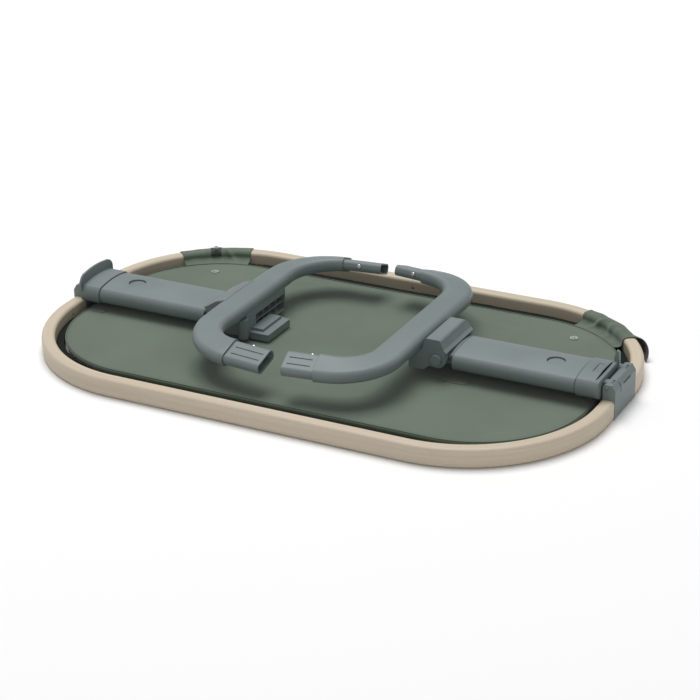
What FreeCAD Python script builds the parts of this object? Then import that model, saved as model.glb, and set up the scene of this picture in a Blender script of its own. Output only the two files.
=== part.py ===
import FreeCAD, Part
import math
import os
import re
import Sketcher

# A folding bedside cot, collapsed and lying upside down: a bent-wood ring with a fabric bottom, and at each
# end a telescoping leg, folded flat over the bottom, with a U-shaped foot. Millimetres, +Z up. The origin is
# on the floor under the middle of the ring, +X runs along the ring and the near side is -Y.

SIZES = {
    "zero": 0,
    # wooden ring: plan outline, section and rounded edges
    "rim_length": 930, "rim_width": 555, "rim_corner": 221, "rim_thick": 21, "rim_tall": 30, "rim_round": 5.5,
    # tenons that enter the end brackets
    "tenon_outer": 4.5, "tenon_inner": 16.5, "tenon_low": 5, "tenon_high": 25, "tenon_long": 12, "play": 0.3,
    # end brackets: the ring's stretch that they replace, the hinge block, and the screws into the tenons
    "bracket_near": 31, "bracket_far": 55, "block_out": 465, "brow_out": 465.8,
    "screw_out": 454.5, "screw_back": 6, "screw_hole": 1.75, "screw_head": 3.6,
    # layers of the tub's bottom, as insets of the ring's outline and heights; its long sides are further in
    "base_narrow": 17,
    "wall_outer": 24.4, "wall_inner": 32.2, "wall_low": 2, "wall_top": 12,
    "cover_inset": 33, "cover_skirt": 35.2, "cover_low": 12.4, "cover_under": 16.9, "cover_top": 18.7,
    "board_inset": 35.8, "board_low": 13.6, "board_top": 16.7,
    "pad_inset": 45, "pad_low": 2, "pad_top": 12.8,
    # fabric sleeves round the rim
    "wrap_skin": 1.5, "wrap_play": 0.4, "wrap_floor": 0.6,
    # leg pivot
    "pivot_out": 452, "pivot_up": 44, "lug_radius": 6, "pivot_pin": 2.5,
    # leg column: crowned oval section
    "column_half": 44, "column_low": 27, "column_top": 59, "column_wall": 2,
    "column_foot_end": 213.5, "column_head_end": 436, "slide_gap": 2.3, "slide_wall": 4.5,
    "slide_head_end": 433, "collar_foot_end": 408.5, "collar_end": 443.5, "collar_floor": 438,
    "collar_skin": 1.5, "collar_play": 0.25, "groove_wide": 1.4, "groove_deep": 1.1,
    # height button and the lock slot that it runs in
    "button_out": 362, "button_radius": 13.6, "button_top": 56.2, "button_under": 53.6, "lock_radius": 4,
    "lock_low": 40.5, "well_radius": 16.5, "well_low": 45, "well_floor": 46.5, "lock_travel": 66,
    # foot hinge
    "foot_pin_out": 193, "foot_pin_up": 49, "foot_pin": 4, "knuckle": 13, "knuckle_half": 39.5,
    # U-shaped feet
    "tube_wide": 47.6, "tube_high": 22.8, "tube_wall": 2.4, "tube_round": 10, "tube_up": 68.3,
    "cross_left": 155.4, "cross_right": 144, "bend_left": 87, "bend_right": 72,
    "arm_left": 189, "arm_right": 187, "seam_left": 79, "seam_right": 66,
    "arm_splay": 7, "arm_lean": 22, "cross_lean": 4.5,
    # open spigots at the feet's tips, and their spring buttons
    "spigot_left": 64, "spigot_right": 50, "spigot_in": 2.5, "spigot_wall": 2.4, "spigot_gap": 0.3,
    "snap_back_left": 28, "snap_back_right": 15, "snap_skin": 20.9, "snap_radius": 3.6, "snap_proud": 3,
    # the right-hand leg lies a little higher than the left-hand one
    "lift_left": 0, "lift_right": 4,
}

doc = FreeCAD.newDocument("bedside_cot")
sheet = doc.addObject("Spreadsheet::Sheet", "Sizes")
for row, (word, number) in enumerate(SIZES.items(), 1):
    sheet.set(f"A{row}", word)
    sheet.set(f"B{row}", str(number))
    sheet.setAlias(f"B{row}", word)
doc.recompute()

nodes = {}


def size(word):
    """The number in the sheet's cell of that name."""
    return float(getattr(sheet, word))


def bind(item, prop, text):
    """Binds a property to an expression whose words are cells of the sheet."""
    item.setExpression(prop, re.sub(r"[a-z]\w*", lambda word: "Sizes." + word.group(0), str(text)))


def bind_place(item, x=0, y=0, z=0):
    for axis, text in zip("xyz", (x, y, z)):
        bind(item, f".Placement.Base.{axis}", text)


def node(name, item):
    """Makes an object the sub-part of that name."""
    doc.recompute()
    item.Label = name
    nodes[name] = item
    return item


def raised(name, item, end):
    """Makes a leg's sub-part of that name, set at the height of that end's leg."""
    frame = doc.addObject("Part::Compound", "raised")
    frame.Links = [item]
    bind_place(frame, 0, 0, "lift_" + end)
    return node(f"{name}_{end}", frame)


# ---------------------------------------------------------------- primitives and booleans

def box(x, y, z, side=1):
    """A box between pairs of expressions. side=-1 mirrors its X span to the left-hand end."""
    item = doc.addObject("Part::Box", "box")
    low_x = x[0] if side > 0 else f"-({x[1]})"
    for prop, span in zip(("Length", "Width", "Height"), (x, y, z)):
        bind(item, prop, f"({span[1]}) - ({span[0]})")
    bind_place(item, low_x, y[0], z[0])
    return item


TURNS = {"x": FreeCAD.Rotation(FreeCAD.Vector(0, 1, 0), 90),
         "y": FreeCAD.Rotation(FreeCAD.Vector(1, 0, 0), -90), "z": FreeCAD.Rotation()}


def rod(axis, radius, start, length, side=1):
    """A cylinder along +axis from a start point, all of it in expressions."""
    item = doc.addObject("Part::Cylinder", "rod")
    bind(item, "Radius", radius)
    bind(item, "Height", length)
    item.Placement.Rotation = TURNS[axis]
    bind_place(item, f"{side} * ({start[0]})", start[1], start[2])
    return item


def fuse(*items):
    item = doc.addObject("Part::MultiFuse", "fuse")
    item.Shapes = list(items)
    item.Refine = True
    return item


def cut(base, *tools):
    for tool in tools:
        item = doc.addObject("Part::Cut", "cut")
        item.Base = base
        item.Tool = tool
        base = item
    return base


def common(base, tool):
    item = doc.addObject("Part::Common", "common")
    item.Base = base
    item.Tool = tool
    return item


def group(*items):
    """Separate solids that share one node."""
    item = doc.addObject("Part::Compound", "group")
    item.Links = list(items)
    return item


def rounded(base, radius, wanted):
    """Rounds the edges that wanted(edge) picks."""
    doc.recompute()
    item = doc.addObject("Part::Fillet", "rounded")
    item.Base = base
    item.Edges = [(number, radius, radius) for number, edge in enumerate(base.Shape.Edges, 1) if wanted(edge)]
    return item


def along(axis, shortest=4.0):
    """Picks straight edges that run along an axis."""
    index = "xyz".index(axis)

    def wanted(edge):
        if edge.Curve.TypeId != "Part::GeomLine" or edge.Length < shortest:
            return False
        direction = edge.Vertexes[1].Point - edge.Vertexes[0].Point
        return abs(direction[index]) > 0.999 * edge.Length
    return wanted


# ---------------------------------------------------------------- sketches and bodies

def plane_of(body, role):
    return next(part for part in body.Origin.OriginFeatures if part.Role == role)


def sketch_on(body, role, name="outline"):
    sketch = body.newObject("Sketcher::SketchObject", name)
    sketch.AttachmentSupport = [(plane_of(body, role), "")]
    sketch.MapMode = "FlatFace"
    return sketch


def draw(sketch, path):
    """Draws a closed outline. Each step is the next point, or (through, next point) for an arc."""
    vector = lambda point: FreeCAD.Vector(point[0], point[1], 0)
    here, first = path[0], sketch.GeometryCount
    steps = list(path[1:]) + [path[0]]
    for step in steps:
        if isinstance(step[0], tuple):
            arc = Part.Arc(vector(here), vector(step[0]), vector(step[1]))
            sketch.addGeometry(arc, False)
            here = step[1]
        else:
            sketch.addGeometry(Part.LineSegment(vector(here), vector(step)), False)
            here = step


def prism(plane, path, low, high, side=1):
    """A pad of an outline. XZ outlines are padded over a span of Y, YZ over X and XY over Z."""
    body = doc.addObject("PartDesign::Body", "prism")
    if plane == "XZ" and side < 0:
        flip = lambda point: (-point[0], point[1])
        path = [tuple(flip(p) for p in step) if isinstance(step[0], tuple) else flip(step) for step in path]
    sketch = sketch_on(body, plane + "_Plane")
    draw(sketch, path)
    pad = body.newObject("PartDesign::Pad", "pad")
    pad.Profile = sketch
    bind(pad, "Length", f"({high}) - ({low})")
    if plane == "XZ":
        bind_place(body, 0, high, 0)
    elif plane == "YZ":
        bind_place(body, low if side > 0 else f"-({high})", 0, 0)
    else:
        bind_place(body, 0, 0, low)
    return body


def racetrack(sketch, inset, narrow="zero"):
    """The ring's plan outline, drawn in by the inset of that name, and by a further size on the long sides."""
    half_x = size("rim_length") / 2 - size(inset)
    half_y = size("rim_width") / 2 - size(inset) - size(narrow)
    radius = size("rim_corner") - size(inset) - size(narrow)
    flat_x, flat_y = half_x - radius, half_y - radius
    start = sketch.GeometryCount
    line = lambda x0, y0, x1, y1: sketch.addGeometry(
        Part.LineSegment(FreeCAD.Vector(x0, y0, 0), FreeCAD.Vector(x1, y1, 0)), False)
    line(-flat_x, -half_y, flat_x, -half_y)
    line(half_x, -flat_y, half_x, flat_y)
    line(flat_x, half_y, -flat_x, half_y)
    line(-half_x, flat_y, -half_x, -flat_y)
    centres = ((flat_x, -flat_y), (flat_x, flat_y), (-flat_x, flat_y), (-flat_x, -flat_y))
    for quarter, (x, y) in enumerate(centres):
        circle = Part.Circle(FreeCAD.Vector(x, y, 0), FreeCAD.Vector(0, 0, 1), radius)
        low = (quarter - 1) * math.pi / 2
        sketch.addGeometry(Part.ArcOfCircle(circle, low, low + math.pi / 2), False)
    add = lambda *values: sketch.addConstraint(Sketcher.Constraint(*values))
    for side in range(4):
        arc, this, after = start + 4 + side, start + side, start + (side + 1) % 4
        add("Tangent", this, 2, arc, 1)
        add("Tangent", arc, 2, after, 1)
        if side:
            add("Equal", start + 4, arc)
    add("Horizontal", start)
    add("Vertical", start + 1)
    add("Symmetric", start, 1, start + 2, 1, -1, 1)
    for kind, first, second, text in (("DistanceX", start + 3, start + 1, "rim_length - 2 * "),
                                      ("DistanceY", start, start + 2, f"rim_width - 2 * {narrow} - 2 * ")):
        span = 2 * (half_x if kind == "DistanceX" else half_y)
        number = add(kind, first, 1, second, 1, span)
        bind(sketch, f"Constraints[{number}]", text + inset)
    number = add("Radius", start + 4, radius)
    bind(sketch, f"Constraints[{number}]", f"rim_corner - {narrow} - {inset}")


def slab(low, high, outer, inner=None, narrow=("zero", "zero")):
    """A pad of the ring's outline, or of the band between two insets, each narrowed on the long sides."""
    body = doc.addObject("PartDesign::Body", "slab")
    sketch = sketch_on(body, "XY_Plane")
    racetrack(sketch, outer, narrow[0])
    if inner:
        racetrack(sketch, inner, narrow[1])
    pad = body.newObject("PartDesign::Pad", "pad")
    pad.Profile = sketch
    bind(pad, "Length", f"({high}) - ({low})")
    bind_place(body, 0, 0, low)
    return body


def arc_strip(path, corner, start, sweep):
    """Turns a radius-height outline about a corner of the ring, from a start angle through a sweep."""
    body = doc.addObject("PartDesign::Body", "strip")
    sketch = sketch_on(body, "XZ_Plane")
    draw(sketch, path)
    turn = body.newObject("PartDesign::Revolution", "turn")
    turn.Profile = sketch
    turn.ReferenceAxis = (sketch, ["V_Axis"])
    turn.Angle = sweep
    body.Placement.Rotation = FreeCAD.Rotation(FreeCAD.Vector(0, 0, 1), start)
    bind_place(body, f"{corner} * (rim_length / 2 - rim_corner)", "rim_width / 2 - rim_corner")
    return body


def crown(low, high, inset, side=1):
    """A length of the leg's crowned oval section, drawn in by an inset (a number)."""
    half = size("column_half") - inset
    bottom, top = size("column_low") + inset, size("column_top") - inset
    shoulder, ankle, belly = 0.84 * half, 0.82 * half, bottom + 0.47 * (top - bottom)
    high_edge, low_edge = top - 4.2, bottom + 2.6
    path = [(-shoulder, high_edge), ((0, top), (shoulder, high_edge)), ((half, belly), (ankle, low_edge)),
            ((0, bottom), (-ankle, low_edge)), ((-half, belly), (-shoulder, high_edge))]
    # the outline closes on its last arc, so the first point isn't repeated
    body = doc.addObject("PartDesign::Body", "crown")
    sketch = sketch_on(body, "YZ_Plane")
    vector = lambda point: FreeCAD.Vector(point[0], point[1], 0)
    here = path[0]
    for through, after in path[1:]:
        sketch.addGeometry(Part.Arc(vector(here), vector(through), vector(after)), False)
        here = after
    pad = body.newObject("PartDesign::Pad", "pad")
    pad.Profile = sketch
    bind(pad, "Length", f"({high}) - ({low})")
    bind_place(body, low if side > 0 else f"-({high})")
    return body


# ---------------------------------------------------------------- ring and tub

SCREWS_AT = ("-bracket_near + screw_back", "bracket_far - screw_back")


def make_rim():
    whole = slab("0", "rim_tall", "zero", "rim_thick")
    doc.recompute()
    soft = rounded(whole, size("rim_round"), lambda edge: abs(edge.BoundBox.ZLength) < 0.01)
    tongue = slab("tenon_low", "tenon_high", "tenon_outer", "tenon_inner")
    wide = ("-rim_length", "rim_length")
    spans = {"near": ("-rim_width", "-bracket_near"), "far": ("bracket_far", "rim_width")}
    tongues = {"near": ("-bracket_near - 1", "tenon_long - bracket_near"),
               "far": ("bracket_far - tenon_long", "bracket_far + 1")}
    screws = {"near": SCREWS_AT[0], "far": SCREWS_AT[1]}
    for name, span in spans.items():
        half = common(soft, box(wide, span, ("-1", "rim_tall + 1")))
        tenons = common(tongue, box(wide, tongues[name], ("0", "rim_tall")))
        sockets = [rod("z", "screw_hole - 0.05", (f"{side} * screw_out", screws[name], "0"), "9")
                   for side in (1, -1)]
        node("rim_wood_" + name, cut(fuse(half, tenons), *(blind_holes(name) + sockets)))


def blind_holes(name):
    """Small fixing holes in the wood's inner face: beside the left bracket and along the far side."""
    if name == "near":
        return [rod("x", "2.5", ("3 - rim_length / 2 + 9", "-70", "15"), "20")]
    return [rod("y", "2.5", ("6", "rim_width / 2 - rim_thick - 2", "15"), "10"),
            rod("x", "2.5", ("rim_length / 2 - rim_thick - 12", "70", "15"), "20")]


def make_bracket(end, side):
    """Joins the wood's halves, and carries the leg's hinge between two ears and a middle block."""
    band = ("block_out - rim_thick", "block_out + 0.8")
    span = ("-bracket_near + play", "bracket_far - play")
    base = rounded(box(band, span, ("0", "rim_tall"), side), 4.0, along("y"))
    hinge = [("-bracket_near", "-22.7"), ("-10", "34"), ("47", "bracket_far")]
    up, out, reach = size("pivot_up") + size("lift_" + end), size("pivot_out"), size("lug_radius")
    face, top, brow = out - reach, up + reach, up - 3
    slant = [(face, 28), (face, up), ((out - reach * 0.7071, up + reach * 0.7071), (out, top)), (460, top),
             (size("brow_out"), brow), (size("brow_out"), 28)]
    blocks = [prism("XZ", slant, low, high, side) for low, high in hinge]
    wall = prism("XZ", [(458.4, 28), (458.4, top), (460, top), *slant[-2:]],
                 "-bracket_near", "bracket_far", side)
    shell = fuse(base, wall, *blocks)
    height = "pivot_up + lift_" + end
    pin_hole = rod("y", "pivot_pin + 0.05", ("pivot_out", "-bracket_near - 1", height),
                   "bracket_near + bracket_far + 2", side)
    ends = [(f"-bracket_near - 1", "tenon_long + play - bracket_near"),
            ("bracket_far - tenon_long - play", "bracket_far + 1")]
    sockets = [box(("block_out - tenon_inner - play", "block_out - tenon_outer + play"), span_y,
                   ("tenon_low - play", "tenon_high + play"), side) for span_y in ends]
    slits = [box(("461", "468"), ("4", "32"), ("44", "46"), side),
             box(("459.5", "468"), ("-9", "-6.6"), ("36", "51"), side)]
    screw_holes = [rod("z", radius, ("screw_out", y, "-1"), length, side) for y in SCREWS_AT
                   for radius, length in (("screw_hole", "9"), ("screw_head", "3.3"))]
    node("end_bracket_" + end, cut(shell, pin_hole, *sockets, *slits, *screw_holes))
    pin = fuse(rod("y", "pivot_pin", ("pivot_out", "2 - bracket_near", height), "bracket_near + bracket_far",
                   side),
               rod("y", "4.6", ("pivot_out", "bracket_far + 0.2", height), "3.4", side))
    node("pivot_pin_" + end, pin)


def make_rim_screws():
    screws = []
    for side in (1, -1):
        for y in SCREWS_AT:
            screws.append(fuse(rod("z", "screw_hole - 0.15", ("screw_out", y, "0.6"), "7.2", side),
                               rod("z", "screw_head - 0.3", ("screw_out", y, "0.6"), "1.5", side)))
    node("rim_screws", group(*screws))


def make_bottom():
    narrow = ("base_narrow", "zero")
    node("side_wall", slab("wall_low", "wall_top", "wall_outer", "wall_inner", ("zero", "base_narrow")))
    node("base_board", slab("board_low", "board_top", "board_inset", narrow=narrow))
    node("mattress", slab("pad_low", "pad_top", "pad_inset", narrow=narrow))
    skin = rounded(slab("cover_low", "cover_top", "cover_inset", narrow=narrow), 1.6,
                   lambda edge: edge.BoundBox.ZMin > size("cover_top") - 0.01)
    node("base_cover", cut(skin, slab("cover_low - 1", "cover_under", "cover_skirt", narrow=narrow)))
    studs = []
    for side in (1, -1):
        ring = cut(rod("z", "6.5", ("322", "174", "cover_top + 0.1"), "1.4", side),
                   rod("z", "3.6", ("322", "174", "cover_top + 0.6"), "2", side))
        studs.append(fuse(ring, rod("z", "2.2", ("322", "174", "cover_top + 0.3"), "1.6", side)))
    node("base_snaps", group(*studs))
    patches = {"strap_pocket": (("198", "241"), ("-51", "-31"), ("cover_top + 0.1", "cover_top + 1.1")),
               "side_tab": (("-421", "-398"), ("-50", "-38"), ("cover_top + 0.1", "cover_top + 0.9"))}
    for name, spans in patches.items():
        node(name, rounded(box(*spans), 3.0, along("z", 0.5)))


def sleeve_path(skin_low, skin_high):
    """Outline of a fabric skin over the ring's section, open below, as radius from the corner and height."""
    outer, inner, top = size("rim_corner"), size("rim_corner") - size("rim_thick"), size("rim_tall")
    low, bend = size("wrap_floor"), size("rim_round")
    far, near = outer + skin_high, inner - skin_high
    tall = top + skin_high
    k = 1 - math.sqrt(0.5)
    b, c = bend + skin_high, bend + skin_low
    far_in, near_in, tall_in = outer + skin_low, inner - skin_low, top + skin_low
    return [(far, low), (far, tall - b), ((far - b * k, tall - b * k), (far - b, tall)),
            (near + b, tall), ((near + b * k, tall - b * k), (near, tall - b)),
            (near, low), (near_in, low), (near_in, tall_in - c),
            ((near_in + c * k, tall_in - c * k), (near_in + c, tall_in)), (far_in - c, tall_in),
            ((far_in - c * k, tall_in - c * k), (far_in, tall_in - c)), (far_in, low)]


def make_wraps():
    cloth = sleeve_path(size("wrap_play"), size("wrap_play") + size("wrap_skin"))
    over = size("wrap_play") + size("wrap_skin") + 0.1
    node("rim_wrap_left", arc_strip(cloth, -1, 105.0, 33.0))
    node("rim_wrap_right", arc_strip(cloth, 1, 38.5, 32.4))
    node("zipper_tape", arc_strip(sleeve_path(over, over + 0.7), -1, 119.4, 4.9))
    slider = box(("-5", "5"), ("-3", "3"), ("0", "3.2"))
    slider = rounded(slider, 1.0, along("z", 1))
    base = doc.addObject("Part::Compound", "slider_place")
    base.Links = [slider]
    angle = math.radians(121.8)
    middle = size("rim_corner") - size("rim_thick") / 2
    corner_x = -(size("rim_length") / 2 - size("rim_corner"))
    corner_y = size("rim_width") / 2 - size("rim_corner")
    spot = FreeCAD.Vector(corner_x + middle * math.cos(angle), corner_y + middle * math.sin(angle),
                          size("rim_tall") + over + 0.8)
    base.Placement = FreeCAD.Placement(spot, FreeCAD.Rotation(FreeCAD.Vector(0, 0, 1), 121.8))
    node("zipper_slider", base)


# ---------------------------------------------------------------- legs

def make_collar(end, side):
    """Sleeve on the column's head with the hinge lugs. The left one also carries a petal-shaped guard."""
    skin = cut(crown("collar_foot_end", "collar_end", -size("collar_skin"), side),
               crown("collar_foot_end - 1", "collar_floor", -size("collar_play"), side))
    lugs = []
    reach, out, up = size("lug_radius"), size("pivot_out"), size("pivot_up")
    root = size("collar_end") - 3
    outline = [(root, up - reach), (out, up - reach), ((out + reach, up), (out, up + reach)),
               (root, up + reach)]
    for low, high in (("-22.4", "-10.3"), ("34.3", "46.7")):
        lugs.append(prism("XZ", outline, low, high, side))
    parts = [skin] + lugs
    if end == "left":
        parts.append(guard(side))
    else:
        fin = prism("XZ", [(438, 54), (446, 54), (445, 72), (441, 74), (438, 62)], "37", "43", side)
        parts.append(fin)
    hole = rod("y", "pivot_pin + 0.05", ("pivot_out", "-60", "pivot_up"), "120", side)
    whole = cut(fuse(*parts), hole)
    if end == "right":
        step = cut(box(("437", "446"), ("-60", "60"), ("56.5", "64"), side),
                   box(("430", "450"), ("36.9", "43.1"), ("50", "80"), side))
        whole = cut(whole, step, box(("424", "432"), ("-15", "15"), ("59.4", "62"), side))
    raised("leg_collar", whole, end)


def guard(side):
    """Rounded, slightly dished flange that stands on the collar's end."""
    arch = [(-46.5, 48), (-46.5, 59), ((-42, 69), (-30, 73.7)), ((0, 76), (30, 73.7)), ((42, 69), (46.5, 59)),
            (46.5, 48)]
    blank = prism("YZ", arch, "430", "450", side)
    dish = prism("XZ", [(439.5, 47), (443.5, 47), (443.4, 60), ((443.2, 70), (445.5, 81)), (442.5, 81),
                        ((440.0, 70), (439.5, 60))], "-50", "50", side)
    return cut(common(blank, dish), crown("430", "439.5", -1.0, side))


def make_column(end, side):
    tube = cut(crown("column_foot_end", "column_head_end", 0, side),
               crown("column_foot_end - 1", "column_head_end + 1", size("column_wall"), side))
    groove = cut(crown("collar_foot_end - groove_wide", "collar_foot_end", -1, side),
                 crown("collar_foot_end - groove_wide - 1", "collar_foot_end + 1", size("groove_deep"), side))
    spot = ("button_out", "0", "well_low")
    well = rod("z", "well_radius", spot, "column_top - well_low - 1", side)
    hollow = rod("z", "button_radius + 0.4", ("button_out", "0", "well_floor"), "20", side)
    peg = rod("z", "lock_radius + 0.3", ("button_out", "0", "well_low - 1"), "5", side)
    raised("column_outer", cut(fuse(cut(tube, groove), well), hollow, peg), end)
    rim = lambda edge: edge.BoundBox.ZMin > size("button_top") - 0.01 and edge.Length > 10
    disc = rod("z", "button_radius", ("button_out", "0", "button_under"), "button_top - button_under", side)
    cap = rounded(disc, 1.0, rim)
    stem = rod("z", "lock_radius", ("button_out", "0", "lock_low"), "button_under - lock_low + 0.5", side)
    raised("height_button", fuse(cap, stem), end)
    coil = cut(rod("z", "9", ("button_out", "0", "well_floor + 0.1"), "button_under - well_floor - 0.3",
                   side), rod("z", "7.6", ("button_out", "0", "well_low"), "20", side))
    raised("height_spring", coil, end)


def make_slide(end, side):
    """Inner tube: a channel and a slot for the lock stem, and a solid knuckle at the foot."""
    outer = crown("column_foot_end", "slide_head_end", size("slide_gap"), side)
    hollow = crown("column_foot_end + 20", "slide_head_end + 1", size("slide_wall"), side)
    tube = cut(outer, hollow)
    walls = box(("button_out - 21", "slide_head_end"), ("-20", "20"), ("well_low - 4", "column_top"), side)
    trough = common(walls, crown("300", "slide_head_end", size("slide_gap"), side))
    beyond = "slide_head_end + 1"
    channel = box(("button_out - 19", beyond), ("-18", "18"), ("well_low - 1.6", "column_top + 5"), side)
    slot = box(("button_out - 4.5", beyond), ("-4.5", "4.5"), ("well_low - 6", "column_top"), side)
    knob = rod("y", "knuckle", ("foot_pin_out", "-knuckle_half", "foot_pin_up"), "2 * knuckle_half", side)
    stretch = ("foot_pin_out", "column_foot_end")
    neck = box(stretch, ("-knuckle_half + 5", "knuckle_half - 5"), ("37.5", "53"), side)
    above = box(stretch, ("-knuckle_half", "knuckle_half"), ("foot_pin_up", "column_top + 1"), side)
    cap = common(crown("foot_pin_out + 4", "column_foot_end - 0.4", 0, side), above)
    hole = rod("y", "foot_pin + 0.05", ("foot_pin_out", "-60", "foot_pin_up"), "120", side)
    raised("column_inner", cut(fuse(tube, trough, neck, cap, knob), channel, slot, hole), end)


def section_path(inset, lean=0):
    """The foot tube's section, a rounded rectangle drawn in by an inset and turned by a lean."""
    half_w, half_h = size("tube_wide") / 2 - inset, size("tube_high") / 2 - inset
    corner = size("tube_round") - inset
    k = corner * (1 - math.sqrt(0.5))
    path = [(corner - half_w, -half_h), (half_w - corner, -half_h),
            ((half_w - k, k - half_h), (half_w, corner - half_h)),
            (half_w, half_h - corner), ((half_w - k, half_h - k), (half_w - corner, half_h)),
            (corner - half_w, half_h),
            ((k - half_w, half_h - k), (-half_w, half_h - corner)), (-half_w, corner - half_h),
            ((k - half_w, k - half_h), (corner - half_w, -half_h))]
    sine, cosine = math.sin(math.radians(lean)), math.cos(math.radians(lean))
    turn = lambda point: (point[0] * cosine - point[1] * sine, point[0] * sine + point[1] * cosine)
    return [tuple(turn(p) for p in step) if isinstance(step[0], tuple) else turn(step) for step in path]


def closed(sketch, path):
    """Draws an outline whose last arc ends on the first point."""
    vector = lambda point: FreeCAD.Vector(point[0], point[1], 0)
    here = path[0]
    for step in path[1:]:
        if isinstance(step[0], tuple):
            sketch.addGeometry(Part.Arc(vector(here), vector(step[0]), vector(step[1])), False)
            here = step[1]
        else:
            sketch.addGeometry(Part.LineSegment(vector(here), vector(step)), False)
            here = step


def foot_plan(end):
    """Near half of the foot's centre line: seam, end and middle of the bend, and start of the cross tube."""
    cross, bend, arm = size("cross_" + end), size("bend_" + end), size("arm_" + end)
    splay = math.radians(size("arm_splay"))
    turn = math.pi / 2 - splay
    on_bend = lambda angle: (cross - bend + bend * math.cos(angle), bend - arm - bend * math.sin(angle))
    bend_end = on_bend(turn)
    seam = size("seam_" + end)
    seam_y = bend_end[1] - (bend_end[0] - seam) * math.tan(splay)
    return (seam, seam_y), bend_end, on_bend(turn / 2), (cross, bend - arm)


def u_pipe(end, side, inset):
    """Solid U drawn in by an inset. Its section leans outwards in the arms and is nearly level across."""
    seam, bend_end, bend_mid, corner = foot_plan(end)
    near = lambda point: FreeCAD.Vector(side * point[0], point[1], 0)
    far = lambda point: FreeCAD.Vector(side * point[0], -point[1], 0)
    body = doc.addObject("PartDesign::Body", "u_pipe")
    spine = sketch_on(body, "XY_Plane", "spine")
    line, arc = Part.LineSegment, Part.Arc
    for piece in (line(near(seam), near(bend_end)), arc(near(bend_end), near(bend_mid), near(corner)),
                  line(near(corner), far(corner)), arc(far(corner), far(bend_mid), far(bend_end)),
                  line(far(bend_end), far(seam))):
        spine.addGeometry(piece, False)
    splay, arm_lean, cross_lean = size("arm_splay"), size("arm_lean"), size("cross_lean")
    stations = [(seam[0], seam[1], splay, arm_lean), (corner[0], corner[1], 90, cross_lean),
                (corner[0], -corner[1], 90, cross_lean), (seam[0], -seam[1], 180 - splay, arm_lean)]
    sections = []
    for x, y, heading, lean in stations:
        section = sketch_on(body, "YZ_Plane", "section")
        section.AttachmentOffset = FreeCAD.Placement(
            FreeCAD.Vector(y, 0, side * x), FreeCAD.Rotation(FreeCAD.Vector(0, 1, 0), side * heading))
        closed(section, section_path(inset, lean))
        sections.append(section)
    pipe = body.newObject("PartDesign::AdditivePipe", "pipe")
    pipe.Profile = sections[0]
    pipe.Spine = spine
    pipe.Transformation = "Multisection"
    pipe.Sections = sections[1:]
    bind_place(body, 0, 0, "tube_up")
    return body


def make_foot_tube(end, side):
    outside = u_pipe(end, side, 0)
    raised("foot_tube", cut(outside, u_pipe(end, side, size("tube_wall"))), end)
    return outside


def make_spigots(end, side):
    """Open sleeves at the tips of the U, with their spring buttons and leaf springs."""
    gap, wall = size("tube_wall") + size("spigot_gap"), size("spigot_wall")
    low, high = "-spigot_" + end, "spigot_in"
    top = f"tube_high / 2 - {gap}"
    for name, sign in (("near", -1), ("far", 1)):
        skins = []
        for inset, span in ((gap, (low, high)), (gap + wall, (low + " - 1", high + " + 1"))):
            body = doc.addObject("PartDesign::Body", "spigot")
            closed(sketch_on(body, "YZ_Plane"), section_path(inset))
            pad = body.newObject("PartDesign::Pad", "pad")
            pad.Profile = body.Group[0]
            bind(pad, "Length", f"({span[1]}) - ({span[0]})")
            bind_place(body, span[0] if side > 0 else f"-({span[1]})")
            skins.append(body)
        grooves = [box((low + " + 6", "-8"), (str(y), f"{y} + 1.6"), (top + " - 0.9", top + " + 1"), side)
                   for y in (-8, 5)]
        spot = "-snap_back_" + end
        first = lambda start, length: start if sign < 0 else f"-({start}) - ({length})"
        across = lambda radius, start, length: rod("y", radius, (spot, first(start, length), "0"), length,
                                                   side)
        hole = across("snap_radius + 0.2", "snap_skin - 8", "14")
        on_arm(f"spigot_{name}", cut(skins[0], skins[1], hole, *grooves), end, side, sign)
        stud = across("snap_radius", "snap_skin - 7", "7 + snap_proud")
        tip = size("snap_skin") + size("snap_proud")
        stud = rounded(stud, 1.6, lambda edge: edge.Length > 10 and max(
            abs(edge.BoundBox.YMin), abs(edge.BoundBox.YMax)) > tip - 0.01)
        on_arm(f"snap_button_{name}", stud, end, side, sign)
        leaf = ("snap_skin - 7 - snap_proud - 1.2", "snap_skin - 7 - snap_proud - 0.4")
        back = ("-11", "-10.2")
        flip = lambda span: span if sign < 0 else (f"-({span[1]})", f"-({span[0]})")
        height = ("-3.5", "3.5")
        spring = fuse(box((spot + " - 6", spot + " + 26"), flip(leaf), height, side),
                      box((spot + " - 2", spot + " + 26"), flip(back), height, side),
                      box((spot + " + 26", spot + " + 26.8"), flip((back[0], leaf[1])), height, side))
        on_arm(f"snap_spring_{name}", spring, end, side, sign)


def on_arm(name, item, end, side, sign):
    """Places a sub-part that is drawn about the origin, with the arm's tip towards -X, on an arm."""
    seam = foot_plan(end)[0]
    frame = doc.addObject("Part::Compound", "arm")
    frame.Links = [item]
    splay = FreeCAD.Rotation(FreeCAD.Vector(0, 0, 1), -side * sign * size("arm_splay"))
    lean = FreeCAD.Rotation(FreeCAD.Vector(1, 0, 0), -sign * size("arm_lean"))
    frame.Placement.Rotation = splay.multiply(lean)
    bind_place(frame, side * seam[0], -sign * seam[1], "tube_up")
    raised(name, frame, end)


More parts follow.
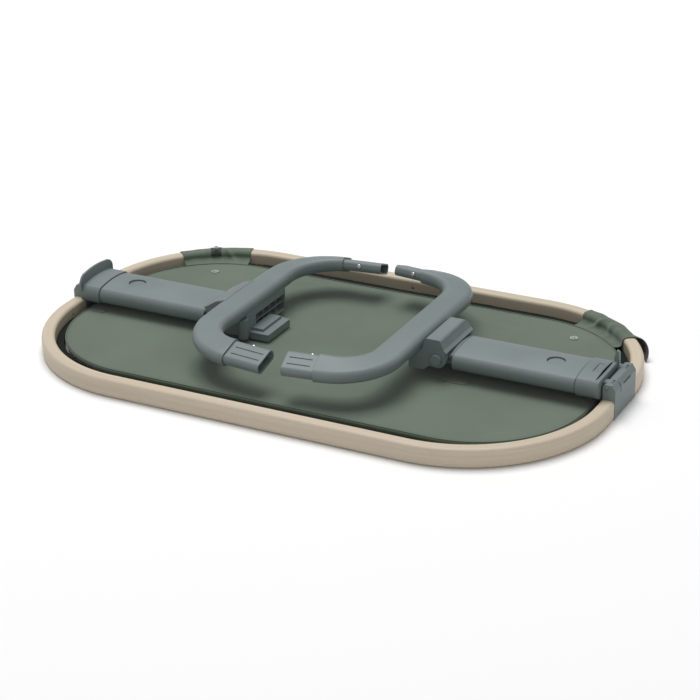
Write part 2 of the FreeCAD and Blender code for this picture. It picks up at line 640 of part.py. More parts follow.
def make_hinge_right(tube_outside):
    """Raised saddle with side cheeks, a cradle under the cross tube and an opening for the knuckle."""
    side, out, up = 1, size("foot_pin_out"), size("foot_pin_up")
    outline = [(147, 28), (171, 28), (180, 36), (out, up - 14), ((out + 14, up), (out + 13, up + 5)),
               (206, 59.8), (209, 60.6), (204, 65), (200, 75), ((198, 79), (194, 80)), (179, 80),
               ((175, 79), (173, 76)), (168, 62), (147, 62)]
    brow = prism("YZ", [(-52, 20), (47, 20), (47, 64), ((42.3, 75.3), (31, 80.5)), (-52, 80.5)],
                 "140", "220", side)
    body = common(prism("XZ", outline, "-52", "47", side), brow)
    roof = up + 11.3
    hollow = [(out - 16, 30), (out - 16, up + 10), ((out - 5, up + 17), (out + 8, up + 16)), (out + 12, roof),
              (220, roof), (220, 30)]
    cavity = prism("XZ", hollow, "-knuckle_half - 1.5", "knuckle_half + 1.5", side)
    relief = crown("column_foot_end - 1.5", "column_foot_end + 20", -0.6, side)
    hole = rod("y", "foot_pin + 0.05", ("foot_pin_out", "-60", "foot_pin_up"), "120", side)
    raised("foot_hinge", cut(body, tube_outside, cavity, relief, hole), "right")


def make_hinge_left(tube_outside):
    """Smooth neck over the column's end, and a ribbed housing with a ledge under the cross tube."""
    side, out, up = -1, size("foot_pin_out"), size("foot_pin_up")
    outline = [(150, 30), (171, 30), (180, 36), (out, up - 14), ((out + 14, up), (out + 13, up + 5)),
               (209, 59.8), (212.5, 60.4), (205, 64), (190, 74), (172, 79.5), (150, 79.5)]
    neck = prism("XZ", outline, "-44", "44", side)
    housing = box(("131", "170"), ("-50", "73"), ("26", "64"), side)
    window = box(("120", "163"), ("-22", "70"), ("29", "54"), side)
    ribs = [box(("137", "165"), (str(y), str(y + 2.2)), ("28", "55"), side) for y in (-8, 12, 32, 52)]
    shelf = box(("134", "165"), ("-23", "71"), ("40", "42"), side)
    ledge = rounded(box(("98", "132"), ("-43", "28"), ("21.5", "33"), side), 2.5, along("z"))
    step = box(("112", "134"), ("-34", "24"), ("32", "37"), side)
    boss = rod("z", "8", ("136", "-53", "26"), "32", side)
    hollow = [(out - 16, 28), (out - 16, up + 9), ((out - 6, up + 15), (out + 5, up + 14.5)), (220, up + 9.3),
              (220, 28)]
    cavity = prism("XZ", hollow, "-knuckle_half - 1.2", "knuckle_half + 1.2", side)
    relief = crown("column_foot_end - 1.5", "column_foot_end + 20", -0.6, side)
    hole = rod("y", "foot_pin + 0.05", ("foot_pin_out", "-60", "foot_pin_up"), "120", side)
    base = fuse(cut(fuse(neck, housing), window), *ribs, shelf, ledge, step, boss)
    raised("foot_hinge", cut(base, tube_outside, cavity, relief, hole), "left")


def make_foot_pin(end, side, near, far, knob):
    """Hinge pin between the cheeks' outer faces, with a round knob on the near end."""
    shaft = rod("y", "foot_pin", ("foot_pin_out", f"-{near} - 1", "foot_pin_up"), f"{near} + {far} + 1.5",
                side)
    heads = [rod("y", knob, ("foot_pin_out", f"-{near} - 6.2", "foot_pin_up"), "6", side),
             rod("y", "6", ("foot_pin_out", f"{far} + 0.2", "foot_pin_up"), "1.5", side)]
    raised("foot_hinge_pin", fuse(shaft, *heads), end)


make_rim()
make_rim_screws()
make_bottom()
make_wraps()
for end, side in (("left", -1), ("right", 1)):
    make_bracket(end, side)
    make_collar(end, side)
    make_column(end, side)
    make_slide(end, side)
    tube_outside = make_foot_tube(end, side)
    make_spigots(end, side)
    (make_hinge_left if end == "left" else make_hinge_right)(tube_outside)
    make_foot_pin(end, side, *((44, 44, "7") if end == "left" else (52, 47, "8.4")))
doc.recompute()

for item in doc.Objects:
    if {"Invalid", "Error"} & set(item.State):
        raise RuntimeError(f"{item.Name} ({item.Label}) failed: {item.State}")
os.makedirs("parts", exist_ok=True)
for name, item in nodes.items():
    shape = item.Shape
    if shape.isNull() or not shape.isValid() or not shape.Solids:
        raise RuntimeError(f"{name} has a bad shape")
    shape.exportStep(f"parts/{name}.step")
    print(f"{name}: {len(shape.Solids)} solids, {shape.Volume / 1000:.1f} cm3")
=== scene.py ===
import math

import bmesh
import bpy
import numpy as np
from mathutils import Matrix, Vector, noise


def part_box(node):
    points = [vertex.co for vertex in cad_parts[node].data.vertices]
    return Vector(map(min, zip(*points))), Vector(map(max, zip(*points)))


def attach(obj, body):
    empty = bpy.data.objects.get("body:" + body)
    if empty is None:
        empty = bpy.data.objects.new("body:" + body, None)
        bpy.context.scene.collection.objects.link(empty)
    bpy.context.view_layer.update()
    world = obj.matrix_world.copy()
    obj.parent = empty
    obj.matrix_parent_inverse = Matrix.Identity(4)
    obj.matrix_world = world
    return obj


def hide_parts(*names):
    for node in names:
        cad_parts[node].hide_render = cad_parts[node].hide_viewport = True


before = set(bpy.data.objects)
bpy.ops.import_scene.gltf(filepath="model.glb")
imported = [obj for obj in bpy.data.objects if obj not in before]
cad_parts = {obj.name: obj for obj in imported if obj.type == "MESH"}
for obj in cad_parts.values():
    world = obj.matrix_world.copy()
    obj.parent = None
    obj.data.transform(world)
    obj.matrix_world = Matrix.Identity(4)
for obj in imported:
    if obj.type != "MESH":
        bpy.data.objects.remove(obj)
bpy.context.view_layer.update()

# Looks for a folding bedside cot that lies upside down, legs folded. Metres, in the CAD frame: X along the
# ring, the near side at -Y, Z up, the floor at zero.

MM = 0.001
SCENE = bpy.context.scene
FULL_TURN = 2 * math.pi

# ring outline, as in the CAD: its half sizes come from the frame, and its corner radius and thickness are
# design values
CORNER = 221 * MM
RIM_THICK = 21 * MM
HALF_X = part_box("rim_wood_near")[1].x
HALF_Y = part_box("rim_wood_far")[1].y
RIM_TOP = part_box("rim_wood_near")[1].z
CORE_X, CORE_Y = HALF_X - CORNER, HALF_Y - CORNER


# ------------------------------------------------------------------------------------------ meshes

def piece(name, points, faces, material, uv=None):
    """A smooth mesh object. uv gives each point's place on the flat cloth, in metres."""
    mesh = bpy.data.meshes.new(name)
    mesh.from_pydata([tuple(p) for p in points], [], faces)
    mesh.validate()
    mesh.polygons.foreach_set("use_smooth", [True] * len(mesh.polygons))
    if uv is not None:
        layer = mesh.uv_layers.new(name="flat")
        for loop in mesh.loops:
            layer.data[loop.index].uv = uv[loop.vertex_index]
    mesh.materials.append(material)
    made = bpy.data.objects.new(name, mesh)
    SCENE.collection.objects.link(made)
    return made


def apply_modifiers(made):
    """Bakes a piece's modifiers into its mesh."""
    graph = bpy.context.evaluated_depsgraph_get()
    graph.update()
    mesh = bpy.data.meshes.new_from_object(made.evaluated_get(graph))
    old = made.data
    made.modifiers.clear()
    made.data = mesh
    bpy.data.meshes.remove(old)
    mesh.polygons.foreach_set("use_smooth", [True] * len(mesh.polygons))
    return made


def thicken(made, thickness, inside_shade=None):
    """Gives a sheet its thickness, with another material on its inner side if one is given: the sleeves give
    a near-black one, painted shade on their inside.
    """
    solid = made.modifiers.new("thickness", "SOLIDIFY")
    solid.thickness, solid.offset = thickness, 0.0
    if inside_shade is not None:
        made.data.materials.append(inside_shade)
        solid.material_offset = 1
    return apply_modifiers(made)


def subdivide(made):
    """One round of smooth subdivision, applied."""
    smooth = made.modifiers.new("smooth", "SUBSURF")
    smooth.levels = smooth.render_levels = 1
    return apply_modifiers(made)


def grid_faces(rows, columns, wrap_columns=False):
    """Faces of a grid of points stored row by row."""
    faces = []
    for i in range(rows - 1):
        for j in range(columns if wrap_columns else columns - 1):
            k = (j + 1) % columns
            faces.append((i * columns + j, i * columns + k, (i + 1) * columns + k, (i + 1) * columns + j))
    return faces


def outline(long_steps, short_steps, corner_steps, core_x=CORE_X):
    """Once round the ring, anticlockwise: the core point, the outward angle and the length run so far."""
    turn = math.pi / 2
    a, b = core_x, CORE_Y
    sides = [((a, -b), (a, b), short_steps), ((a, b), (-a, b), long_steps),
             ((-a, b), (-a, -b), short_steps), ((-a, -b), (a, -b), long_steps)]
    stations, run = [], 0.0
    for side, (start, end, steps) in enumerate(sides):
        length = math.dist(start, end)
        for i in range(steps):
            t = i / steps
            x = start[0] + t * (end[0] - start[0])
            y = start[1] + t * (end[1] - start[1])
            stations.append((x, y, side * turn, run))
            run += length / steps
        for i in range(corner_steps):
            stations.append((end[0], end[1], side * turn + turn * i / corner_steps, run))
            run += CORNER * turn / corner_steps
    return stations


def at(station, inset, z):
    """The point at a station of the outline, so far in from the ring's outer face."""
    x, y, angle, _ = station
    return Vector((x + (CORNER - inset) * math.cos(angle), y + (CORNER - inset) * math.sin(angle), z))


def tube(name, path, radius, material, closed=False, sides=8):
    """A round tube along points, with its ends closed unless it is a loop."""
    count, points, faces = len(path), [], []
    for i, p in enumerate(path):
        after = path[(i + 1) % count] if closed or i < count - 1 else p
        before = path[i - 1] if closed or i > 0 else p
        ahead = (Vector(after) - Vector(before)).normalized()
        across = ahead.cross(Vector((0, 0, 1)))
        across = across.normalized() if across.length > 1e-6 else Vector((1, 0, 0))
        up = across.cross(ahead)
        for j in range(sides):
            a = FULL_TURN * j / sides
            points.append(Vector(p) + radius * (math.cos(a) * across + math.sin(a) * up))
    for i in range(count if closed else count - 1):
        n = (i + 1) % count
        for j in range(sides):
            k = (j + 1) % sides
            faces.append((i * sides + j, i * sides + k, n * sides + k, n * sides + j))
    if not closed:
        faces.append(tuple(range(sides)))
        faces.append(tuple((count - 1) * sides + j for j in reversed(range(sides))))
    return piece(name, points, faces, material)


def stitch_row(name, path, material, pitch=3.6 * MM, length=2.5 * MM, radius=0.32 * MM):
    """Short lens-shaped stitches along a line of points that lie on cloth."""
    points, faces = [], []
    walked, mark = 0.0, pitch / 2
    for a, b in zip(path, path[1:]):
        step = (b - a).length
        while walked + step >= mark:
            middle = a + (b - a) * ((mark - walked) / step)
            ahead = (b - a).normalized()
            across = ahead.cross(Vector((0, 0, 1))).normalized()
            up = across.cross(ahead)
            base = len(points)
            points += [middle - ahead * length / 2, middle + ahead * length / 2]
            for j in range(6):
                turn = FULL_TURN * j / 6
                points.append(middle + radius * (math.cos(turn) * across + (0.35 + math.sin(turn)) * up))
            for j in range(6):
                k = (j + 1) % 6
                faces += [(base, base + 2 + k, base + 2 + j), (base + 1, base + 2 + j, base + 2 + k)]
            mark += pitch
        walked += step
    return piece(name, points, faces, material)


def near_segment(x, y, a, b):
    """Distance from a point to a segment, in the plane."""
    px, py, dx, dy = x - a[0], y - a[1], b[0] - a[0], b[1] - a[1]
    t = min(1.0, max(0.0, (px * dx + py * dy) / (dx * dx + dy * dy)))
    return math.hypot(px - t * dx, py - t * dy)


def bell(distance, width):
    """1 at no distance, and nearly 0 from twice the width on."""
    return math.exp(-(distance / width) ** 2)


def soft_step(t):
    """0 up to t = 0 and 1 from t = 1 on, with a smooth rise between."""
    t = min(1.0, max(0.0, t))
    return t * t * (3 - 2 * t)


# --------------------------------------------------------------------------------------- materials

class Shade:
    """A procedural material round one Principled shader, with short ways to add nodes."""

    def __init__(self, name, roughness, metallic=0.0, specular=0.5):
        self.material = bpy.data.materials.new(name)
        self.material.use_nodes = True
        self.tree = self.material.node_tree
        self.shader = self.tree.nodes["Principled BSDF"]
        self.shader.inputs["Roughness"].default_value = roughness
        self.shader.inputs["Metallic"].default_value = metallic
        self.shader.inputs["Specular IOR Level"].default_value = specular

    def add(self, kind, values=(), **settings):
        made = self.tree.nodes.new(kind)
        for key, value in settings.items():
            setattr(made, key, value)
        for key, value in dict(values).items():
            self.put(value, made.inputs[key])
        return made

    def put(self, value, socket):
        if isinstance(value, bpy.types.NodeSocket):
            self.tree.links.new(value, socket)
        else:
            socket.default_value = value

    def math(self, operation, a, b=0.0):
        made = self.add("ShaderNodeMath", operation=operation)
        for value, socket in zip((a, b), made.inputs):
            self.put(value, socket)
        return made.outputs[0]

    def place(self, source):
        return self.add("ShaderNodeTexCoord").outputs[source]

    def split(self, vector):
        return self.add("ShaderNodeSeparateXYZ", {"Vector": vector}).outputs

    def stretch(self, parts, factors):
        """A vector of up to three parts, each multiplied by its own factor."""
        scaled = [self.math("MULTIPLY", part, factor) for part, factor in zip(parts, factors)]
        return self.add("ShaderNodeCombineXYZ", dict(zip("XYZ", scaled))).outputs[0]

    def noise(self, vector, scale, detail=3.0, roughness=0.5):
        values = {"Vector": vector, "Scale": scale, "Detail": detail, "Roughness": roughness}
        return self.add("ShaderNodeTexNoise", values).outputs["Fac"]

    def spread(self, value, low, high, to_low, to_high):
        """Maps the range from low to high onto another one, and stays at its ends outside."""
        values = {"Value": value, "From Min": low, "From Max": high, "To Min": to_low, "To Max": to_high}
        return self.add("ShaderNodeMapRange", values).outputs["Result"]

    def mix(self, factor, first, second):
        made = self.add("ShaderNodeMix", data_type="RGBA")
        self.put(factor, made.inputs[0])
        for value, socket in ((first, made.inputs[6]), (second, made.inputs[7])):
            self.put(value if isinstance(value, bpy.types.NodeSocket) else (*value, 1.0), socket)
        return made.outputs[2]

    def colour(self, value):
        self.put(value, self.shader.inputs["Base Color"])

    def rough(self, value):
        self.put(value, self.shader.inputs["Roughness"])

    def bump(self, *layers, soften=None):
        """Stacks (height, strength, distance) layers of relief, over edges softened by a radius."""
        normal = None
        if soften:
            normal = self.add("ShaderNodeBevel", {"Radius": soften}, samples=6).outputs["Normal"]
        for height, strength, distance in layers:
            values = {"Height": height, "Strength": strength, "Distance": distance}
            if normal is not None:
                values["Normal"] = normal
            normal = self.add("ShaderNodeBump", values).outputs["Normal"]
        self.put(normal, self.shader.inputs["Normal"])


def tint(colour, factor):
    """A brighter or darker shade of a colour."""
    return tuple(min(1.0, c * factor) for c in colour)


def redder(colour, green, blue, factor):
    """A darker shade of a colour with less of its green and blue."""
    return tint((colour[0], colour[1] * green, colour[2] * blue), factor)


def wood(name, colour):
    """Pale beech, with its fibres and flecks running along the bent ring."""
    m = Shade(name, 0.5, specular=0.35)
    x, y, z = m.split(m.place("Object"))
    core_x = m.math("MINIMUM", m.math("MAXIMUM", x, -CORE_X), CORE_X)
    core_y = m.math("MINIMUM", m.math("MAXIMUM", y, -CORE_Y), CORE_Y)
    out_x, out_y = m.math("SUBTRACT", x, core_x), m.math("SUBTRACT", y, core_y)
    squares = m.math("ADD", m.math("MULTIPLY", out_x, out_x), m.math("MULTIPLY", out_y, out_y))
    reach = m.math("SQRT", squares)
    run = m.math("SUBTRACT", m.math("MULTIPLY", m.math("ARCTAN2", out_y, out_x), CORNER),
                 m.math("MULTIPLY", m.math("SIGN", out_y), core_x))
    grain = (run, reach, z)
    bands = m.noise(m.stretch(grain, (2.2, 95.0, 95.0)), 1.0, 3.0, 0.55)
    fibres = m.noise(m.stretch(grain, (16.0, 900.0, 900.0)), 1.0, 4.0, 0.6)
    flecks = m.noise(m.stretch(grain, (170.0, 1700.0, 1700.0)), 1.0, 1.0, 0.4)
    patches = m.noise(m.stretch(grain, (5.0, 14.0, 14.0)), 1.0, 2.0, 0.5)
    base = m.mix(m.spread(bands, 0.32, 0.7, 0.0, 1.0), tint(colour, 1.06), tint(colour, 0.86))
    base = m.mix(m.spread(fibres, 0.35, 0.75, 0.0, 0.42), base, redder(colour, 0.93, 0.84, 0.8))
    base = m.mix(m.spread(flecks, 0.62, 0.74, 0.0, 0.38), base, redder(colour, 0.88, 0.76, 0.62))
    base = m.mix(m.spread(patches, 0.3, 0.75, 0.0, 0.3), base, redder(colour, 0.97, 0.92, 0.92))
    m.colour(base)
    m.rough(m.spread(fibres, 0.3, 0.8, 0.42, 0.62))
    m.bump((fibres, 0.25, 0.12 * MM), (flecks, 0.18, 0.1 * MM))
    return m.material


def coated(name, colour, roughness, grain, depth):
    """Moulded plastic or powder coat: fine even texture, slow tonal drift, faint scuffs."""
    m = Shade(name, roughness, specular=0.4)
    place = m.place("Object")
    drift = m.noise(place, 9.0, 3.0, 0.6)
    grit = m.noise(place, grain, 2.0, 0.55)
    pebble = m.noise(place, grain * 0.36, 1.0, 0.5)
    scuff = m.noise(m.stretch(m.split(place), (60.0, 900.0, 500.0)), 1.0, 3.0, 0.6)
    base = m.mix(m.spread(drift, 0.3, 0.72, 0.0, 1.0), tint(colour, 0.93), tint(colour, 1.07))
    base = m.mix(m.spread(grit, 0.55, 0.75, 0.0, 0.3), base, tint(colour, 1.25))
    base = m.mix(m.spread(scuff, 0.68, 0.8, 0.0, 0.35), base, tint(colour, 1.45))
    m.colour(base)
    m.rough(m.spread(drift, 0.25, 0.75, roughness - 0.07, roughness + 0.08))
    m.bump((pebble, depth, 0.25 * MM), (grit, depth * 0.8, 0.12 * MM), soften=1.3 * MM)
    return m.material


def cloth(name, colour, flat, thread=0.85 * MM, relief=0.35, sheen=0.25):
    """Plain-weave cloth. flat is where its threads run: "UV" for a piece with a flat pattern, or "Object"."""
    roughness = 0.88
    m = Shade(name, roughness, specular=0.18)
    u, v, _ = m.split(m.place(flat))
    warp = m.math("SINE", m.math("MULTIPLY", u, math.pi / thread))
    weft = m.math("SINE", m.math("MULTIPLY", v, math.pi / thread))
    over = m.math("GREATER_THAN", m.math("MULTIPLY", warp, weft), 0.0)
    height = m.math("ADD", m.math("MULTIPLY", m.math("ABSOLUTE", warp), over),
                    m.math("MULTIPLY", m.math("ABSOLUTE", weft), m.math("SUBTRACT", 1.0, over)))
    slub = m.noise(m.stretch((u, v), (70.0, 1300.0)), 1.0, 2.0, 0.5)
    crosswise = m.noise(m.stretch((u, v), (1300.0, 70.0)), 1.0, 2.0, 0.5)
    drift = m.noise(m.place("Object"), 7.0, 3.0, 0.55)
    rumple = m.noise(m.place("Object"), 34.0, 3.0, 0.55)
    base = m.mix(m.spread(drift, 0.3, 0.72, 0.0, 1.0), tint(colour, 0.88), tint(colour, 1.12))
    # painted shade: the gaps between the threads are darkened towards 0.6 of the colour
    base = m.mix(m.spread(height, 0.0, 0.6, 0.4, 0.0), base, tint(colour, 0.6))
    base = m.mix(m.spread(slub, 0.55, 0.8, 0.0, 0.35), base, tint(colour, 1.22))
    base = m.mix(m.spread(crosswise, 0.55, 0.8, 0.0, 0.3), base, tint(colour, 0.82))
    m.colour(base)
    m.rough(m.spread(height, 0.0, 1.0, roughness + 0.06, roughness - 0.05))
    m.shader.inputs["Sheen Weight"].default_value = sheen
    m.shader.inputs["Sheen Roughness"].default_value = 0.6
    m.bump((rumple, 0.25, 1.2 * MM), (height, relief, 0.22 * MM))
    return m.material


def metal(name, colour):
    """Nickel-plated steel with fine brushing and a few dull spots."""
    roughness = 0.32
    m = Shade(name, roughness, metallic=1.0)
    place = m.place("Object")
    brush = m.noise(m.stretch(m.split(place), (300.0, 300.0, 5000.0)), 1.0)
    dull = m.noise(place, 240.0, 3.0, 0.6)
    m.colour(m.mix(m.spread(dull, 0.4, 0.7, 0.0, 0.6), colour, tint(colour, 0.7)))
    m.rough(m.spread(brush, 0.3, 0.7, roughness - 0.08, roughness + 0.16))
    m.bump((brush, 0.15, 0.08 * MM))
    return m.material


GREEN = (0.124, 0.163, 0.12)
SLATE = (0.178, 0.215, 0.215)
MATERIALS = {
    "beech": wood("beech_wood", (0.63, 0.55, 0.435)),
    "grey_plastic": coated("slate_moulded_nylon", SLATE, 0.5, 1300.0, 0.22),
    "grey_paint": coated("slate_powder_coat", tint(SLATE, 1.02), 0.46, 2100.0, 0.16),
    "inner_tube": coated("slate_inner_tube", tint(SLATE, 0.9), 0.42, 2600.0, 0.1),
    "steel": metal("plated_steel", (0.72, 0.72, 0.7)),
    "green_cloth": cloth("sage_weave", GREEN, "Object"),
    # the folded wall's near-black colour is partly its own dark cloth and partly painted shade of the gap
    # under the ring
    "dark_cloth": cloth("dark_wall_cloth_and_painted_shade", (0.012, 0.016, 0.012), "Object", 1.6 * MM, relief=0.6, sheen=0.0),
    "board": coated("stiff_board", (0.05, 0.055, 0.05), 0.8, 900.0, 0.3),
    "foam": cloth("pad_ticking", (0.62, 0.62, 0.58), "Object", 0.7 * MM),
}
SLEEVE_CLOTH = cloth("sage_sleeve_weave", tint(GREEN, 0.9), "UV")
# painted shade: the sleeves' inner side is near black where it lies in shadow
SLEEVE_INSIDE_SHADE = cloth("sleeve_inside_painted_shade", (0.03, 0.032, 0.03), "UV")
TRIM_CLOTH = cloth("sage_trim", tint(GREEN, 0.8), "Object", 0.6 * MM, relief=0.5)
THREAD = cloth("sage_thread", tint(GREEN, 1.18), "Object", 0.3 * MM)
TAPE_CLOTH = cloth("zipper_weave", (0.03, 0.038, 0.03), "UV", 0.6 * MM)
TEETH = coated("zipper_coil", (0.05, 0.058, 0.05), 0.4, 3000.0, 0.1)

for node_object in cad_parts.values():
    for material_slot in node_object.material_slots:
        kind = material_slot.material.name.split(".")[0]
        material_slot.material = MATERIALS[kind]


# ------------------------------------------------------------------------------- bottom of the tub

COVER_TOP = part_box("base_cover")[1].z
COVER_INSET = HALF_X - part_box("base_cover")[1].x
# the bottom's long sides are further in than its ends, by NARROW, and its corners are that much tighter
NARROW = HALF_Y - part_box("base_cover")[1].y - COVER_INSET
BASE_CORE_X = CORE_X + NARROW
BASE_CORNER = CORNER - NARROW
COVER_STEPS = (92, 20, 44)  # along a long side, along a short side, round a corner

# start, end, half width and height of each pull line or fold in the stretched cloth
COVER_FOLDS = [
    ((-0.172, 0.199), (-0.072, 0.190), 4 * MM, 0.7 * MM),
    ((-0.072, 0.190), (0.020, 0.187), 4 * MM, 0.6 * MM),
    ((0.236, 0.123), (0.235, 0.172), 3 * MM, 0.6 * MM),
    ((-0.102, -0.054), (-0.056, -0.059), 1.2 * MM, 0.5 * MM),
    ((0.132, 0.176), (0.229, 0.165), 5 * MM, 0.45 * MM),
    ((-0.33, -0.08), (-0.24, -0.11), 6 * MM, -0.3 * MM),
]


def base_at(station, inset, z):
    """The point at a station of the bottom's outline, so far in from the ring's outer face at its ends."""
    return at(station, inset + NARROW, z)


def core_grid(steps):
    """The points of a grid over the bottom's core rectangle, row by row."""
    nx, ny, _ = steps
    return [(-BASE_CORE_X + 2 * BASE_CORE_X * i / nx, -CORE_Y + 2 * CORE_Y * j / ny)
            for j in range(ny + 1) for i in range(nx + 1)]


def middle_faces(ring, grid, steps):
    """Faces that close the ring of points from number ring on, over the core grid from number grid on. Each
    corner arc closes on one corner of the grid."""
    nx, ny, nc = steps

    def spot(i, j):
        return grid + j * (nx + 1) + i

    inner = ([spot(nx, j) for j in range(ny)] + [spot(nx, ny)] * nc
             + [spot(nx - i, ny) for i in range(nx)] + [spot(0, ny)] * nc
             + [spot(0, ny - j) for j in range(ny)] + [spot(0, 0)] * nc
             + [spot(i, 0) for i in range(nx)] + [spot(nx, 0)] * nc)
    faces = []
    for k in range(len(inner)):
        n = (k + 1) % len(inner)
        face = (ring + k, ring + n, inner[n], inner[k])
        faces.append(face if inner[n] != inner[k] else face[:3])
    return faces + [(spot(i, j), spot(i + 1, j), spot(i + 1, j + 1), spot(i, j + 1))
                    for j in range(ny) for i in range(nx)]


def cover_height(x, y, inset):
    """Height of the stretched bottom cloth, with its pull lines and the folds beside the far side."""
    edge = inset - COVER_INSET
    rise = 0.3 * MM * noise.noise(Vector((x * 9, y * 9, 2.0)))
    rise += 0.1 * MM * noise.noise(Vector((x * 31, y * 31, 7.0)))
    core = max(-BASE_CORE_X, min(BASE_CORE_X, x))
    around = math.atan2(y - max(-CORE_Y, min(CORE_Y, y)), x - core)
    run = BASE_CORNER * around - math.copysign(1.0, y) * core
    pucker = noise.noise(Vector((run * 55, 3.0, 0.0))) * bell(edge - 5 * MM, 6 * MM)
    rise += 0.3 * MM * pucker
    for start, end, width, height in COVER_FOLDS:
        rise += height * bell(near_segment(x, y, start, end), width)
    return COVER_TOP + rise - 0.25 * MM * bell(edge - 3.6 * MM, 1.2 * MM)


def cover_mesh(stations):
    """The stretched cloth: a skirt over the board's edge, rings round the border and a grid in the middle."""
    skirt = [(0.9, -6.4), (0.3, -4.6), (0.1, -2.2), (0.5, -0.7), (1.6, -0.1)]
    rings = [(COVER_INSET + inset * MM, COVER_TOP + z * MM) for inset, z in skirt]
    inset = COVER_INSET + 3 * MM
    while inset < BASE_CORNER - 5 * MM:
        rings.append((inset, None))
        inset += 2 * MM if inset < COVER_INSET + 12 * MM else 5 * MM
    points = []
    for inset, z in rings:
        for station in stations:
            p = base_at(station, inset, 0)
            points.append((p.x, p.y, cover_height(p.x, p.y, inset) if z is None else z))
    grid = len(points)
    points += [(x, y, cover_height(x, y, BASE_CORNER)) for x, y in core_grid(COVER_STEPS)]
    faces = grid_faces(len(rings), len(stations), True)
    faces += middle_faces((len(rings) - 1) * len(stations), grid, COVER_STEPS)
    return piece("bottom_cover", points, faces, MATERIALS["green_cloth"])


def make_cover():
    """The bottom cloth with its piped edge and the row of stitches beside it."""
    stations = outline(*COVER_STEPS, BASE_CORE_X)
    cover = cover_mesh(stations)
    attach(cover, "ring")
    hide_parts("base_cover")

    edge = [base_at(station, COVER_INSET + 2.2 * MM, COVER_TOP + 0.1 * MM) for station in stations]
    piping = tube("cover_piping", edge, 1.15 * MM, TRIM_CLOTH, closed=True)
    seam = COVER_INSET + 7.5 * MM
    line = [base_at(station, seam, 0) for station in stations + stations[:1]]
    for p in line:
        p.z = cover_height(p.x, p.y, seam)
    stitches = stitch_row("cover_stitches", line, THREAD)
    for trim in (piping, stitches):
        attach(trim, "ring")


WALL_STEPS = (120, 28, 60)
WALL_FOLDS = 10
FLAT_ROWS = 9  # the lowest rows, which reach from the ring to the bottom without ripples


def make_side_wall():
    """The tub's wall, collapsed into a stack of soft folds between the ring and the bottom."""
    low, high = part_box("side_wall")
    outer, inner = RIM_THICK + 0.3 * MM, COVER_INSET - 0.5 * MM
    floor, top = low.z + 0.3 * MM, high.z - 0.4 * MM
    by_rim, by_base = outline(*WALL_STEPS), outline(*WALL_STEPS, BASE_CORE_X)
    # the profile's places run from 0 at the ring to 1 at the bottom, with each fold's edge rounded
    profile = []
    for k in range(WALL_FOLDS + 1):
        z = floor + (top - floor) * k / WALL_FOLDS
        place, back = (0.0, 0.04) if k % 2 else (1.0, -0.04)
        profile += [(place + back, z - 0.3 * (top - floor) / WALL_FOLDS), (place, z),
                    (place + back, z + 0.3 * (top - floor) / WALL_FOLDS)]
    points, uv, height, before = [], [], 0.0, None
    for row, (place, z) in enumerate(profile):
        here = (place * (inner - outer + NARROW / 2), z)
        height += math.dist(before, here) if before else 0.0
        before = here
        for rim_station, base_station in zip(by_rim, by_base):
            run = rim_station[3]
            ripple = 0.0
            if row >= FLAT_ROWS:
                ripple = 0.1 * (1 + noise.noise(Vector((run * 26, row * 0.37, 5.0))))
            share = 0.5 + (place - 0.5) * (1 - ripple)
            points.append(at(rim_station, outer, z).lerp(base_at(base_station, inner, z), share))
            uv.append((run, height))
    faces = grid_faces(len(profile), len(by_rim), True)
    # its near-black colour is partly the wall's dark cloth, partly painted shade
    wall = piece("folded_wall", points, faces, MATERIALS["dark_cloth"], uv)
    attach(wall, "ring")
    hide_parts("side_wall")


PAD_STEPS = (60, 14, 26)
PAD_CELL = 68 * MM  # spacing of the diagonal sewn lines
PAD_SWELL = 1.9 * MM  # the most that a point may rise
PAD_SPREAD = 0.8 * MM  # and the most that it may move sideways


def pad_mesh(edge, middle, half):
    """The pad's closed shell: an upper and a lower layer that meet along the edge."""
    stations = outline(*PAD_STEPS, BASE_CORE_X)
    count = len(stations)
    insets = [edge + 1.2 * MM]
    while insets[-1] < CORNER - 9 * MM:
        insets.append(insets[-1] + 7.6 * MM)
    points = [at(station, edge, middle) for station in stations]
    faces = []
    for sign in (1, -1):
        first = len(points)
        for inset in insets:
            z = middle + sign * half * (0.75 if inset == insets[0] else 1)
            points += [at(station, inset, z) for station in stations]
        grid = len(points)
        points += [Vector((x, y, middle + sign * half)) for x, y in core_grid(PAD_STEPS)]
        layer = [(k, (k + 1) % count, first + (k + 1) % count, first + k) for k in range(count)]
        layer += [tuple(first + v for v in face) for face in grid_faces(len(insets), count, True)]
        layer += middle_faces(first + (len(insets) - 1) * count, grid, PAD_STEPS)
        faces += layer if sign > 0 else [tuple(reversed(face)) for face in layer]
    return piece("quilted_pad", points, faces, MATERIALS["foam"])


def swollen_points(pad):
    """Where the pad's points come to rest under air pressure, with its sewn lines held."""
    swell = pad.modifiers.new("swell", "CLOTH")
    swell.settings.use_pressure = True
    swell.settings.uniform_pressure_force = 4.0
    swell.settings.effector_weights.gravity = 0.0
    swell.settings.quality = 5
    swell.settings.vertex_group_mass = "sewn"
    swell.settings.pin_stiffness = 1.0
    swell.collision_settings.use_collision = False
    for step in range(1, 21):
        SCENE.frame_set(step)
    apply_modifiers(pad)
    swollen = np.array([v.co for v in pad.data.vertices])
    SCENE.frame_set(1)
    return swollen


